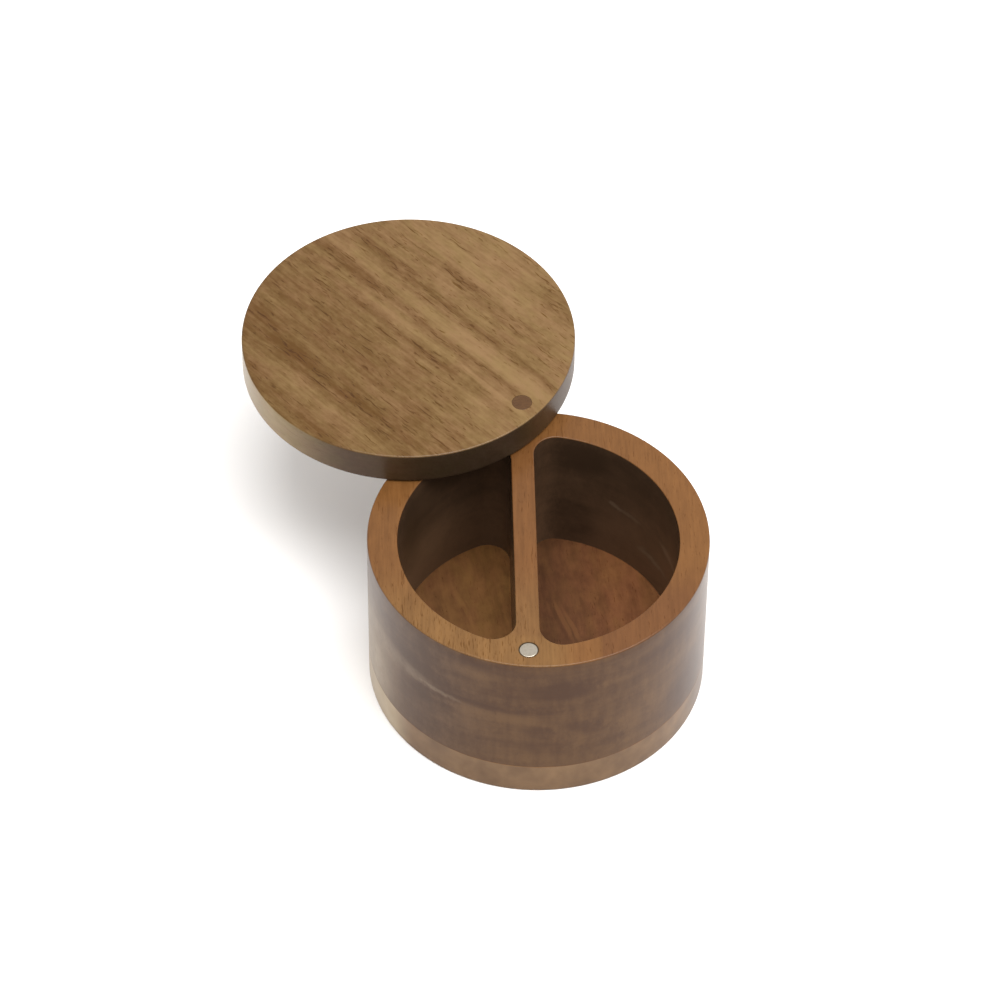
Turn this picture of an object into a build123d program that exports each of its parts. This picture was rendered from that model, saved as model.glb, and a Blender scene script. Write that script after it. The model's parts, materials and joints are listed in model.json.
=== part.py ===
from build123d import *

import os
from math import cos, radians, sin

# A round wooden spice box. A block with two pockets is glued on a base disc, and a flat round lid swings
# about an upright screw at the back. Two small magnets catch the lid when it is shut.
#
# Millimetres, +Z up. The origin is the centre of the underside. The divider between the pockets runs
# along Y, from the catch magnet at the front (-Y) to the pivot screw at the back (+Y). The lid is made
# where it stands open.

# The turned outside
box_radius = 60.0
body_height = 67.0
base_thickness = 13.0
lid_thickness = 12.4
lid_gap = 0.6
rim_arris_radius = 0.6
foot_chamfer = 0.6
lid_arris_radius = 0.7
lid_underside_chamfer = 0.5

# The two pockets: one circle, set a little forward, which the divider cuts in two
pocket_radius = 49.4
pocket_centre_y = -1.2
pocket_corner_radius = 8.0
pocket_mouth_chamfer = 0.4
divider_width = 8.1
divider_x = -4.7

# The pivot, on the divider's centre line behind the pockets, and the angle that the lid stands open
pivot_x = divider_x
pivot_y = 52.3
opening_angle = 224.5
running_clearance = 0.05
end_float = 0.1

# The pan head screw that the lid turns on
shank_radius = 1.75
shank_length = 30.0
shank_point_length = 5.0
shank_point_radius = 0.3
head_radius = 3.4
head_rim_height = 0.9
head_height = 2.2
drive_span = 4.0
drive_width = 1.0
drive_depth = 1.3
drive_taper = 8.0

# The wooden plug over the screw head, and the washer that keeps the lid off the rim
counterbore_depth = 7.0
plug_radius = 3.6
plug_height = 4.3
plug_edge_chamfer = 0.3
washer_radius = 5.5
washer_thickness = lid_gap - end_float
washer_bore_clearance = 0.15

# The pair of catch magnets, one in the rim and one in the lid
magnet_radius = 3.175
magnet_thickness = 3.2
magnet_edge_chamfer = 0.2
magnet_glue_gap = 0.12
magnet_y = -pivot_y

# Levels
block_height = body_height - base_thickness
lid_underside = body_height + lid_gap
lid_top = lid_underside + lid_thickness
head_seat = lid_top - counterbore_depth + end_float
head_rim_top = head_seat + head_rim_height
head_top = head_seat + head_height
shank_point_top = head_seat - shank_length + shank_point_length
shank_tip = head_seat - shank_length

# Planes and axes: the lid's plane lies on its underside, on the pivot, turned as far as the lid is open
pivot_axis = Axis((pivot_x, pivot_y, 0), (0, 0, 1))
pivot_section = Plane(origin=(pivot_x, pivot_y, 0), x_dir=(1, 0, 0), z_dir=(0, -1, 0))
lid_x_direction = (cos(radians(opening_angle)), sin(radians(opening_angle)), 0)
lid_plane = Plane(origin=(pivot_x, pivot_y, lid_underside), x_dir=lid_x_direction, z_dir=(0, 0, 1))
rim_plane = Plane.XY.offset(body_height)

# The outline of the shank, from the axis outwards: straight, then tapered to a blunt point
shank_outline = [
    (0, head_seat),
    (shank_radius, head_seat),
    (shank_radius, shank_point_top),
    (shank_point_radius, shank_tip),
    (0, shank_tip),
]

# Base disc: it closes the pockets, so its top is their floor
with BuildPart() as base_disc:
    with BuildSketch():
        Circle(box_radius)
    extrude(amount=base_thickness)
    foot_edge = base_disc.edges().filter_by(GeomType.CIRCLE).sort_by(Axis.Z)[0]
    chamfer(foot_edge, foot_chamfer)

# Body block: a round block, cut right through by the two pockets
with BuildPart() as body_block:
    with BuildSketch(Plane.XY.offset(base_thickness)):
        Circle(box_radius)
    extrude(amount=block_height)
    with BuildSketch(Plane.XY.offset(base_thickness)) as pocket_pair:
        with Locations((0, pocket_centre_y)):
            Circle(pocket_radius)
        with Locations((divider_x, 0)):
            Rectangle(divider_width, 2 * box_radius, mode=Mode.SUBTRACT)
        fillet(pocket_pair.vertices(), pocket_corner_radius)
    extrude(amount=block_height, mode=Mode.SUBTRACT)
    rim = body_block.faces().sort_by(Axis.Z)[-1]
    fillet(rim.outer_wire().edges(), rim_arris_radius)
    rim = body_block.faces().sort_by(Axis.Z)[-1]
    mouths = [edge for wire in rim.inner_wires() for edge in wire.edges()]
    chamfer(mouths, pocket_mouth_chamfer)
    # The seat of the catch magnet, a glue gap wider than the magnet
    with Locations(rim_plane):
        with Locations((pivot_x, magnet_y)):
            Hole(magnet_radius + magnet_glue_gap, depth=magnet_thickness)
    # The hole that the screw has cut for itself
    with BuildSketch(pivot_section):
        with BuildLine():
            Polyline(*shank_outline, close=True)
        make_face()
    revolve(axis=pivot_axis, mode=Mode.SUBTRACT)

# Lid: a flat disc as wide as the body, with a counterbore on the pivot for the screw head and its plug
with BuildPart() as lid:
    with BuildSketch(lid_plane):
        with Locations((-pivot_x, -pivot_y)):
            Circle(box_radius)
    extrude(amount=lid_thickness)
    underside_edge, top_edge = lid.edges().filter_by(GeomType.CIRCLE).sort_by(Axis.Z)
    chamfer(underside_edge, lid_underside_chamfer)
    fillet(top_edge, lid_arris_radius)
    with Locations(lid_plane.offset(lid_thickness)):
        CounterBoreHole(shank_radius + running_clearance, plug_radius, counterbore_depth)
    with BuildSketch(lid_plane):
        with Locations((0, magnet_y - pivot_y)):
            Circle(magnet_radius + magnet_glue_gap)
    extrude(amount=magnet_thickness, mode=Mode.SUBTRACT)

# Pivot plug: a short dowel glued flush over the screw head, chamfered at its inner end
with BuildPart() as pivot_plug:
    with BuildSketch(lid_plane.offset(lid_thickness)):
        Circle(plug_radius)
    extrude(amount=-plug_height)
    inner_edge = pivot_plug.edges().filter_by(GeomType.CIRCLE).sort_by(Axis.Z)[0]
    chamfer(inner_edge, plug_edge_chamfer)

# Pivot screw: its shank carries the lid's bore and its domed head holds the lid down
with BuildPart() as pivot_screw:
    with BuildSketch(pivot_section):
        with BuildLine():
            dome = TangentArc((0, head_top), (head_radius, head_rim_top), tangent=(1, 0))
            Polyline(dome @ 1, (head_radius, head_seat), *shank_outline[1:], (0, head_top))
        make_face()
    revolve(axis=pivot_axis)
    with BuildSketch(Plane.XY.offset(head_top)):
        with Locations((pivot_x, pivot_y)):
            Rectangle(drive_span, drive_width)
            Rectangle(drive_width, drive_span)
    extrude(amount=-drive_depth, taper=drive_taper, mode=Mode.SUBTRACT)

# Spacer washer: a thin ring on the rim, which the lid slides round on
with BuildPart() as spacer_washer:
    with BuildSketch(rim_plane):
        with Locations((pivot_x, pivot_y)):
            Circle(washer_radius)
            Circle(shank_radius + washer_bore_clearance, mode=Mode.SUBTRACT)
    extrude(amount=washer_thickness)

# Rim magnet: a disc magnet, flush with the rim on the divider's centre line
with BuildPart() as rim_magnet:
    with BuildSketch(rim_plane):
        with Locations((pivot_x, magnet_y)):
            Circle(magnet_radius)
    extrude(amount=-magnet_thickness)
    chamfer(rim_magnet.edges().filter_by(GeomType.CIRCLE), magnet_edge_chamfer)

# Lid magnet: its partner, flush with the lid's underside, over the rim magnet when the lid is shut
with BuildPart() as lid_magnet:
    with BuildSketch(lid_plane):
        with Locations((0, magnet_y - pivot_y)):
            Circle(magnet_radius)
    extrude(amount=magnet_thickness)
    chamfer(lid_magnet.edges().filter_by(GeomType.CIRCLE), magnet_edge_chamfer)

os.makedirs("parts", exist_ok=True)

base_disc.part.label = "base_disc"
export_step(base_disc.part, "parts/base_disc.step")

body_block.part.label = "body_block"
export_step(body_block.part, "parts/body_block.step")

lid.part.label = "lid"
export_step(lid.part, "parts/lid.step")

pivot_plug.part.label = "pivot_plug"
export_step(pivot_plug.part, "parts/pivot_plug.step")

pivot_screw.part.label = "pivot_screw"
export_step(pivot_screw.part, "parts/pivot_screw.step")

spacer_washer.part.label = "spacer_washer"
export_step(spacer_washer.part, "parts/spacer_washer.step")

rim_magnet.part.label = "rim_magnet"
export_step(rim_magnet.part, "parts/rim_magnet.step")

lid_magnet.part.label = "lid_magnet"
export_step(lid_magnet.part, "parts/lid_magnet.step")
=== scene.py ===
"""A round wooden spice box with a swivelling lid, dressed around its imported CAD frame.

The script is laid out as an add-on. Three property groups hold the sizes, the finish and the stage, one
operator makes each piece, one more sets the stage, and a panel in the sidebar lists them all. Lengths are in
metres, but in millimetres within the materials.
"""

import json
import math

import bmesh
import bpy
import numpy as np
from bpy.props import FloatProperty, FloatVectorProperty, PointerProperty
from bpy.types import Operator, Panel, PropertyGroup
from mathutils import Matrix, Vector


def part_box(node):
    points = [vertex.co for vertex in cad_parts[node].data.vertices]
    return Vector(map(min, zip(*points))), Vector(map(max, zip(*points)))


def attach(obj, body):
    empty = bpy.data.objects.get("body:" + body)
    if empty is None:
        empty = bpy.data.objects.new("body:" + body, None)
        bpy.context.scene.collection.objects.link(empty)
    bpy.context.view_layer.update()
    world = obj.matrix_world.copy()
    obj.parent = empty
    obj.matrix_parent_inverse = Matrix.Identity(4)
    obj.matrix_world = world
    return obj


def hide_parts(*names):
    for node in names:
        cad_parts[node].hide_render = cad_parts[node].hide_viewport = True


bl_info = {
    "name": "Spice Box",
    "version": (1, 0, 0),
    "blender": (4, 5, 0),
    "location": "View3D > Sidebar > Spice Box",
    "description": "Dresses the packed model of a round wooden spice box",
    "category": "Object",
}

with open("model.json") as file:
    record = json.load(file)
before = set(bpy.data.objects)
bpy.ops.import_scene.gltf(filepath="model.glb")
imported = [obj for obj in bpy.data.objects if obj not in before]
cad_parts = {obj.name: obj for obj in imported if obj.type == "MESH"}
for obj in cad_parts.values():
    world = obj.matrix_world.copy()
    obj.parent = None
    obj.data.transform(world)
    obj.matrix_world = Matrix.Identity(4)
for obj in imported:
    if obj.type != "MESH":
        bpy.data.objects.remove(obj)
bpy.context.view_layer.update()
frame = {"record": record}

MM = 0.001

# What the frame says of the pieces
_, base_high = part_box("base_disc")
block_low, block_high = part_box("body_block")
lid_low, lid_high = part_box("lid")
plug_low, plug_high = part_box("pivot_plug")
screw_low, screw_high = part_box("pivot_screw")
washer_low, washer_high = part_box("spacer_washer")
rim_magnet_low, rim_magnet_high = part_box("rim_magnet")
lid_magnet_low, lid_magnet_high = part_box("lid_magnet")

BOX_RADIUS = base_high.x
LID_CENTRE = (lid_low + lid_high) / 2
LID_RADIUS = min(lid_high.x - lid_low.x, lid_high.y - lid_low.y) / 2
PIVOT = (plug_low + plug_high) / 2
RIM_MAGNET = (rim_magnet_low + rim_magnet_high) / 2
LID_MAGNET = (lid_magnet_low + lid_magnet_high) / 2


# == Properties ==


def shorthand(kind, **settings):
    """A short way to write the properties of one kind."""
    return lambda name, description, default: kind(
        name=name, description=description, default=default, **settings
    )


Length = shorthand(FloatProperty, min=0, unit="LENGTH")
Angle = shorthand(FloatProperty, subtype="ANGLE")
Share = shorthand(FloatProperty, min=0, max=1, subtype="FACTOR")
Power = shorthand(FloatProperty, min=0, unit="POWER")
Lens = shorthand(FloatProperty, min=1, unit="CAMERA")
Colour = shorthand(FloatVectorProperty, size=3, subtype="COLOR", min=0, max=1)
Place = shorthand(FloatVectorProperty, size=3, subtype="TRANSLATION", unit="LENGTH")


class SpiceBoxSizes(PropertyGroup):
    """The sizes that the boxes of the CAD nodes don't say."""

    pocket_radius: Length("Pocket radius", "Radius of the circle both pockets share", 49.4 * MM)
    pocket_setback: Length("Pocket setback", "How far that circle is set forward", 1.2 * MM)
    pocket_corner: Length("Pocket corner", "Radius of the upright corners", 8 * MM)
    divider_width: Length("Divider width", "Thickness of the wall between pockets", 8.1 * MM)
    mouth_round: Length("Mouth rounding", "Rounding of the pockets' mouths", 0.4 * MM)
    rim_round: Length("Rim rounding", "Rounding of the rim and the foot", 0.6 * MM)
    lid_round: Length("Lid rounding", "Rounding of the lid's two edges", 0.7 * MM)
    seat_gap: Length("Magnet gap", "Glue gap round each magnet", 0.12 * MM)
    magnet_round: Length("Magnet rounding", "Rounding of the magnets' edges", 0.25 * MM)
    plug_depth: Length("Counterbore depth", "Depth of the hole for the screw's head", 7 * MM)
    plug_gap: Length("Plug gap", "Gap between the plug and its hole", 0.03 * MM)
    bore_radius: Length("Lid bore", "Radius of the bore round the screw", 1.8 * MM)
    washer_bore: Length("Washer bore", "Radius of the washer's bore", 1.9 * MM)
    shank_radius: Length("Shank radius", "Radius of the screw's shank", 1.75 * MM)
    thread_depth: Length("Thread depth", "Height of the thread above its core", 0.45 * MM)
    thread_pitch: Length("Thread pitch", "Rise of the thread in one turn", 1.4 * MM)
    head_height: Length("Head height", "Height of the screw's domed head", 2.2 * MM)
    head_rim: Length("Head rim", "Height of the rim below the dome", 0.9 * MM)


class SpiceBoxFinish(PropertyGroup):
    """The colours and the gloss of the finish."""

    lid_light: Colour("Lid, light streaks", "Pale heartwood of the lid", (0.166, 0.0985, 0.0402))
    lid_dark: Colour("Lid, dark streaks", "Dark heartwood of the lid", (0.0685, 0.0292, 0.004))
    block_light: Colour("Block, light wood", "Long grain on the rim, lightest", (0.15, 0.064, 0.0185))
    block_dark: Colour("Block, dark wood", "Long grain on the rim, darkest", (0.088, 0.0355, 0.0095))
    side_light: Colour("Side, light bands", "Turned side, lightest", (0.098, 0.0465, 0.014))
    side_dark: Colour("Side, dark bands", "Turned side, darkest", (0.045, 0.0144, 0.001))
    side_pale: Colour("Side, pale wedge", "Pale marks in the turned side", (0.15, 0.102, 0.064))
    # Painted glare: a pale, greyish colour on the left ends of the block and the base, coloured like pale
    # sapwood
    painted_glare: Colour("Sapwood", "Sapwood, low on the left end", (0.385, 0.3, 0.2))
    base_light: Colour("Base, light wood", "Edge of the base, lightest", (0.197, 0.113, 0.052))
    base_dark: Colour("Base, dark wood", "Edge of the base, darkest", (0.098, 0.051, 0.0224))
    floor_light: Colour("Floor, light wood", "Pockets' floor, lightest", (0.195, 0.083, 0.025))
    floor_dark: Colour("Floor, dark wood", "Pockets' floor, darkest", (0.098, 0.037, 0.01))
    wall_light: Colour("Wall, light wood", "Pockets' walls, lightest", (0.125, 0.07, 0.038))
    wall_dark: Colour("Wall, dark wood", "Pockets' walls, darkest", (0.038, 0.0215, 0.012))
    plug_wood: Colour("Plug", "End grain of the plug", (0.078, 0.036, 0.013))
    pore: Colour("Pores", "What the open pores tint the wood with", (0.52, 0.39, 0.06))
    nickel: Colour("Nickel", "Plating of the magnets", (0.45, 0.4, 0.33))
    steel: Colour("Steel", "Zinc plating of the screw", (0.55, 0.55, 0.56))
    nylon: Colour("Nylon", "The washer's plastic", (0.8, 0.79, 0.75))
    wood_roughness: Share("Wood roughness", "Roughness of the lacquer", 0.29)


class SpiceBoxStage(PropertyGroup):
    """The studio: its floor, its light and its camera."""

    floor: Colour("Floor", "The floor that the box stands on", (0.85, 0.835, 0.82))
    floor_side: Length("Floor side", "Side of the square floor", 8.0)
    surround: Share("Surround", "Strength of the white surround", 0.94)
    softbox_width: Length("Softbox width", "Length of the softbox's longer side", 1.56)
    softbox_depth: Length("Softbox depth", "Length of the softbox's shorter side", 0.9)
    softbox_power: Power("Softbox power", "Light that the softbox gives", 36.6)
    softbox_place: Place("Softbox place", "Middle of the softbox", (0.282, -0.256, 1.445))
    softbox_aim: Place("Softbox aim", "What the softbox faces", (0, 0.03, 0))
    camera_lens: Lens("Camera lens", "Focal length of the camera", 174.904)
    camera_azimuth: Angle("Camera azimuth", "How far right of the front it stands", math.radians(-1.6193))
    camera_elevation: Angle("Camera elevation", "How far above the level it stands", math.radians(47.522))
    camera_roll: Angle("Camera roll", "How far it is turned about its line of sight", math.radians(0.6067))
    camera_distance: Length("Camera distance", "From the camera to what it looks at", 1.76031)
    camera_aim: Place("Camera aim", "What the camera looks at", (-0.01214, 0.05122, 0.030))


# Where the scene keeps each group
GROUPS = {
    "spice_box_sizes": SpiceBoxSizes,
    "spice_box_finish": SpiceBoxFinish,
    "spice_box_stage": SpiceBoxStage,
}


# == Surfaces ==

ROUND_STEPS = 8
CIRCLE_STEPS = 256
RING_STEPS = 72
HOLE_FLOOR_STEPS = 2
STUDIO_FLOOR_STEPS = 8
WELD_DISTANCE = 1e-6
SHARP_ANGLE = math.radians(32)

# Shares of the way across a flat face, short at the ends, so that smooth shading stops at the edge
FLAT_SHARES = (0, 0.02, 0.34, 0.66, 0.98, 1)

# Steps along each stretch of a pocket's outline, and of the line round it
SHORT_STEPS = 4
WALL_STEPS = 24
CORNER_STEPS = 14
ARC_STEPS = 110
FRONT_STEPS = 12

# The flat fields round the magnet's seat and round the screw
FIELD_HALF_WIDTH = 4.6 * MM
FIELD_INNER = 47.7 * MM
POCKET_CORNER_TURN = 20


def circle_angles(steps=CIRCLE_STEPS):
    """Equal angles once round, the last one on the first."""
    return np.linspace(0, 2 * math.pi, steps + 1)


def arc(centre, radius, start, end, steps):
    """Points on a circle's arc: centre + radius * (cos a, sin a), a from start to end in degrees."""
    turn = np.radians(np.linspace(start, end, steps + 1))
    return np.column_stack([centre[0] + radius * np.cos(turn), centre[1] + radius * np.sin(turn)])


def line(start, end, steps):
    """Equally spaced points on the straight line from start to end."""
    share = np.linspace(0, 1, steps + 1)[:, None]
    return np.asarray(start) * (1 - share) + np.asarray(end) * share


def chain(*stretches):
    """Stretches of points end to end. Each but the first loses its first point."""
    return np.concatenate([stretches[0], *[stretch[1:] for stretch in stretches[1:]]])


def at_height(points, height):
    """Flat points (x, y) lifted to one height."""
    return np.column_stack([points, np.full(len(points), height)])


def turned(outline, centre, angles):
    """A surface of revolution: (i, a) is the outline's i-th (radius, height), turned by a about the upright
    axis through centre."""
    radius, height = np.asarray(outline, float).T
    x = centre[0] + radius[:, None] * np.cos(angles)
    y = centre[1] + radius[:, None] * np.sin(angles)
    return np.stack([x, y, np.broadcast_to(height[:, None], x.shape)], axis=-1)


def ruled(first, second, shares=FLAT_SHARES):
    """A surface of straight lines: (s, t) lies the share t of the way from first(s) to second(s)."""
    share = np.asarray(shares, float)[:, None, None]
    return first[None] * (1 - share) + second[None] * share


def facing(loop, centre, radius):
    """The points of a circle round centre that face the loop's points."""
    away = loop[:, :2] - np.array(centre[:2])
    away /= np.linalg.norm(away, axis=1)[:, None]
    return at_height(np.array(centre[:2]) + radius * away, loop[0, 2])


def directions(loop, centre):
    """The directions of a loop's points from centre, once round."""
    return np.unwrap(np.arctan2(loop[:, 1] - centre.y, loop[:, 0] - centre.x))


def rounded(corners, steps, radii=(), round_steps=ROUND_STEPS):
    """A line through corners, with its own steps up to each one. The corners between its ends are rounded by
    these radii, where they are right angles, or sharp where the radius is 0 or missing."""
    corners = np.array(corners, float)
    ways = np.diff(corners, axis=0)
    ways /= np.hypot(*ways.T)[:, None]
    stretches = [corners[:1]]
    for index, count in enumerate(steps):
        radius = radii[index] if index < len(radii) else 0
        end = corners[index + 1] - radius * ways[index]
        stretches.append(line(stretches[-1][-1], end, count))
        if radius:
            (right, up), leave = ways[index], ways[index + 1]
            start = math.degrees(math.atan2(-leave[1], -leave[0]))
            turn = 90 * (right * leave[1] - up * leave[0])
            stretches.append(arc(end + radius * leave, radius, start, start + turn, round_steps))
    return chain(*stretches)


def blind_hole(radius, mouth, floor, steps):
    """The outline of a round hole: its wall from mouth to floor, then its floor to the middle."""
    return rounded([(radius, mouth), (radius, floor), (0, floor)], (steps, HOLE_FLOOR_STEPS))


def quads(rows, columns, first=0):
    """The faces of a grid of points that are numbered from first."""
    index = first + np.arange(rows * columns).reshape(rows, columns)
    corners = [index[:-1, :-1], index[:-1, 1:], index[1:, 1:], index[1:, :-1]]
    return np.stack(corners, axis=-1).reshape(-1, 4)


def piece_from(name, node, grids, material):
    """One closed mesh from grids of points: seams and poles welded, faces outwards, only real edges sharp. It
    stands for its CAD node: on its body, with its material slot."""
    starts = np.cumsum([0] + [grid[..., 0].size for grid in grids])
    faces = [quads(*grid.shape[:2], first) for grid, first in zip(grids, starts)]
    points = np.concatenate([grid.reshape(-1, 3) for grid in grids])
    mesh = bpy.data.meshes.new(name)
    mesh.from_pydata(points.tolist(), [], np.concatenate(faces).tolist())
    welded = bmesh.new()
    welded.from_mesh(mesh)
    bmesh.ops.remove_doubles(welded, verts=welded.verts, dist=WELD_DISTANCE)
    bmesh.ops.recalc_face_normals(welded, faces=welded.faces)
    open_edges = sum(1 for edge in welded.edges if not edge.is_manifold)
    welded.to_mesh(mesh)
    welded.free()
    if open_edges:
        raise RuntimeError(f"{name} has {open_edges} open edges")
    mesh.shade_smooth()
    mesh.set_sharp_from_angle(angle=SHARP_ANGLE)
    mesh.materials.append(material)
    piece = bpy.data.objects.new(name, mesh)
    bpy.context.scene.collection.objects.link(piece)
    record = frame["record"]
    body = next(name for name, nodes in record["behaviour"]["bodies"].items() if node in nodes)
    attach(piece, body)
    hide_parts(node)


# == The block's outlines ==


def pocket_loop(sizes, side, spread, height):
    """A pocket's outline, grown by spread: the divider's straight face, the wall's big arc, and two corner
    arcs that touch both. Side is 1 for the right pocket and -1 for the left one, which is mirrored."""
    face_x = side * PIVOT.x + sizes.divider_width / 2
    middle = (0, -sizes.pocket_setback)
    corner_x = face_x + sizes.pocket_corner
    reach = math.sqrt((sizes.pocket_radius - sizes.pocket_corner) ** 2 - corner_x**2)
    front, back = (corner_x, middle[1] - reach), (corner_x, middle[1] + reach)
    meeting = math.degrees(math.atan2(reach, corner_x))
    corner, near = sizes.pocket_corner + spread, 180 - POCKET_CORNER_TURN
    points = chain(
        arc(back, corner, near, 180, SHORT_STEPS),
        line((face_x - spread, back[1]), (face_x - spread, front[1]), WALL_STEPS),
        arc(front, corner, 180, 360 - near, SHORT_STEPS),
        arc(front, corner, 360 - near, 360 - meeting, CORNER_STEPS),
        arc(middle, sizes.pocket_radius + spread, -meeting, meeting, ARC_STEPS),
        arc(back, corner, meeting, near, CORNER_STEPS),
    )
    return at_height(points * (side, 1), height)


def rim_turn(side):
    """Where the field round the magnet meets the outer edge, in degrees from the box's centre."""
    corner_x = side * PIVOT.x + FIELD_HALF_WIDTH
    return math.degrees(math.acos(corner_x / BOX_RADIUS))


def half_loop(side, radius, height):
    """The line round half a flat face of the block: the divider's middle, the edges of the fields round the
    magnet and the screw, and the outer edge. It has the steps of pocket_loop."""
    middle_x, inner_y, turn = side * PIVOT.x, FIELD_INNER, rim_turn(side)
    field_x = middle_x + FIELD_HALF_WIDTH
    outer = arc((0, 0), radius, -turn, turn, ARC_STEPS)
    corners = [(field_x, inner_y), (middle_x, inner_y), (middle_x, -inner_y), (field_x, -inner_y), outer[0]]
    inner = rounded(corners, (SHORT_STEPS, WALL_STEPS, SHORT_STEPS, CORNER_STEPS))
    points = chain(inner, outer, line(outer[-1], corners[0], CORNER_STEPS))
    return at_height(points * (side, 1), height)


def field_loop(end, radius, height):
    """The line round the field of the magnet (end is -1) or of the screw (end is 1): a square whose far side
    is the block's outer edge."""
    outer = arc((0, 0), radius, rim_turn(1), 180 - rim_turn(-1), FRONT_STEPS)
    offsets = (-FIELD_HALF_WIDTH, 0, FIELD_HALF_WIDTH)
    left, middle, right = [(PIVOT.x + offset, FIELD_INNER) for offset in offsets]
    first = rounded([middle, right, outer[0]], (SHORT_STEPS, CORNER_STEPS))
    last = rounded([outer[-1], left, middle], (CORNER_STEPS, SHORT_STEPS))
    points = chain(first, outer, last)
    return at_height(points * (1, end), height)


def rim_angles():
    """The angles of the outer edge's points, as half_loop and field_loop have them."""
    right, left = rim_turn(1), rim_turn(-1)
    stops = (-right, right, 180 - left, 180 + left, 360 - right)
    steps = (ARC_STEPS, FRONT_STEPS, ARC_STEPS, FRONT_STEPS)
    turns = [np.linspace(*ends, count + 1) for *ends, count in zip(stops, stops[1:], steps)]
    return np.radians(chain(*turns))


def block_face(sizes, radius, spread, height, magnet_radius, screw_radius):
    """The grids of a flat face of the block: two halves ruled from their outer line to the pocket, and two
    fields ruled from their edge to the hole within."""
    grids = []
    for side in (1, -1):
        grids.append(ruled(half_loop(side, radius, height), pocket_loop(sizes, side, spread, height)))
    for end, middle, hole in ((-1, RIM_MAGNET, magnet_radius), (1, PIVOT, screw_radius)):
        loop = field_loop(end, radius, height)
        grids.append(ruled(loop, facing(loop, middle, hole)))
    return grids


# == The screw's surfaces ==

THREAD_STEPS = 12
HEAD_LINES = 17
NECK_SHARE = 0.25
RIDGE_STEEPNESS = 3.2
POINT_LENGTH = 5 * MM
POINT_RADIUS = 0.3 * MM
DRIVE_HALF_SPAN = 2.0 * MM
DRIVE_HALF_WIDTH = 0.5 * MM
DRIVE_DEPTH = 1.3 * MM
DRIVE_DRAFT = 0.15 * MM


def domed_head(radius, rim_top):
    """The head's top: a square grid drawn out to a disc. (u, v) goes to (u * sqrt(1 - v^2 / 2),
    v * sqrt(1 - u^2 / 2)), blended so that the middle stays square. The height is a sphere's cap, less the
    cross recess, whose walls lean in by the draft."""
    edges = [half - draft for half in (DRIVE_HALF_WIDTH, DRIVE_HALF_SPAN) for draft in (DRIVE_DRAFT, 0)]
    lines = np.concatenate([np.linspace(0, 1, HEAD_LINES), np.array(edges) / radius])
    lines = np.unique(np.round(np.concatenate([-lines, lines]), 6))
    u, v = np.meshgrid(lines, lines, indexing="ij")
    beyond_drive = np.maximum(abs(u), abs(v)) * radius - DRIVE_HALF_SPAN
    outward = np.clip(beyond_drive / (radius - DRIVE_HALF_SPAN), 0, 1)
    x = u * (1 - outward + outward * np.sqrt(1 - v**2 / 2)) * radius
    y = v * (1 - outward + outward * np.sqrt(1 - u**2 / 2)) * radius
    crown = screw_high.z - rim_top
    sphere = (radius**2 + crown**2) / (2 * crown)
    height = rim_top + crown - sphere + np.sqrt(np.maximum(sphere**2 - x**2 - y**2, 0))

    def within(across, half):
        return np.clip((half - abs(across)) / DRIVE_DRAFT, 0, 1)

    upright = np.minimum(within(x, DRIVE_HALF_WIDTH), within(y, DRIVE_HALF_SPAN))
    level = np.minimum(within(y, DRIVE_HALF_WIDTH), within(x, DRIVE_HALF_SPAN))
    cut = np.maximum(upright, level)
    floor = screw_high.z - DRIVE_DEPTH
    return np.stack([PIVOT.x + x, PIVOT.y + y, height * (1 - cut) + floor * cut], axis=-1)


def threaded_shank(sizes, seat, turns):
    """The shank from the seat to its point. Below its plain neck, its radius at the height z and the angle a
    is the core's plus the thread's depth times a sharp ridge of z / pitch - a / 2 pi, and both run out."""
    rows = round((seat - screw_low.z) / sizes.thread_pitch * THREAD_STEPS)
    z = np.linspace(seat, screw_low.z, rows + 1)[:, None]
    neck = seat - NECK_SHARE * (seat - screw_low.z)
    threaded = np.clip((neck - z) / sizes.thread_pitch, 0, 1)
    phase = (z / sizes.thread_pitch - turns / (2 * math.pi)) % 1
    ridge = np.maximum(1 - abs(phase - 0.5) * RIDGE_STEEPNESS, 0)
    core = sizes.shank_radius - sizes.thread_depth * threaded
    taper = np.clip((z - screw_low.z) / POINT_LENGTH, 0, 1)
    thread = sizes.thread_depth * threaded * ridge
    radius = POINT_RADIUS + (core - POINT_RADIUS + thread) * taper
    radius = np.concatenate([radius, 0 * radius[:1]])
    z = np.concatenate([z, z[-1:]])
    x, y = PIVOT.x + radius * np.cos(turns), PIVOT.y + radius * np.sin(turns)
    return np.stack([x, y, np.broadcast_to(z, x.shape)], axis=-1)


# == Shader graphs ==

LACQUER_IOR = 1.3
WOOD_RELIEF = 0.02 * MM
METAL_RELIEF = 0.004 * MM
NYLON_RELIEF = 0.01 * MM


class Value:
    """A socket of a shader graph. Arithmetic on it adds Math nodes."""

    def __init__(self, graph, socket):
        self.graph = graph
        self.socket = socket

    def math(self, operation, *others):
        return self.graph.node("ShaderNodeMath", {"operation": operation}, dict(enumerate((self, *others))))

    def __add__(self, other):
        return self.math("ADD", other)

    def __sub__(self, other):
        return self.math("SUBTRACT", other)

    def __rsub__(self, other):
        return self * -1 + other

    def __mul__(self, other):
        return self.math("MULTIPLY", other)

    def __truediv__(self, other):
        return self.math("DIVIDE", other)

    def __rtruediv__(self, other):
        return self**-1 * other

    def __pow__(self, power):
        return self.math("POWER", power)

    __radd__ = __add__
    __rmul__ = __mul__

    def step(self, low, high):
        """0 below low, 1 above high, a smooth S between; the other way round if low is above high."""
        ends = {"Value": self, "From Min": low, "From Max": high}
        return self.graph.node("ShaderNodeMapRange", {"interpolation_type": "SMOOTHSTEP"}, ends)


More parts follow.
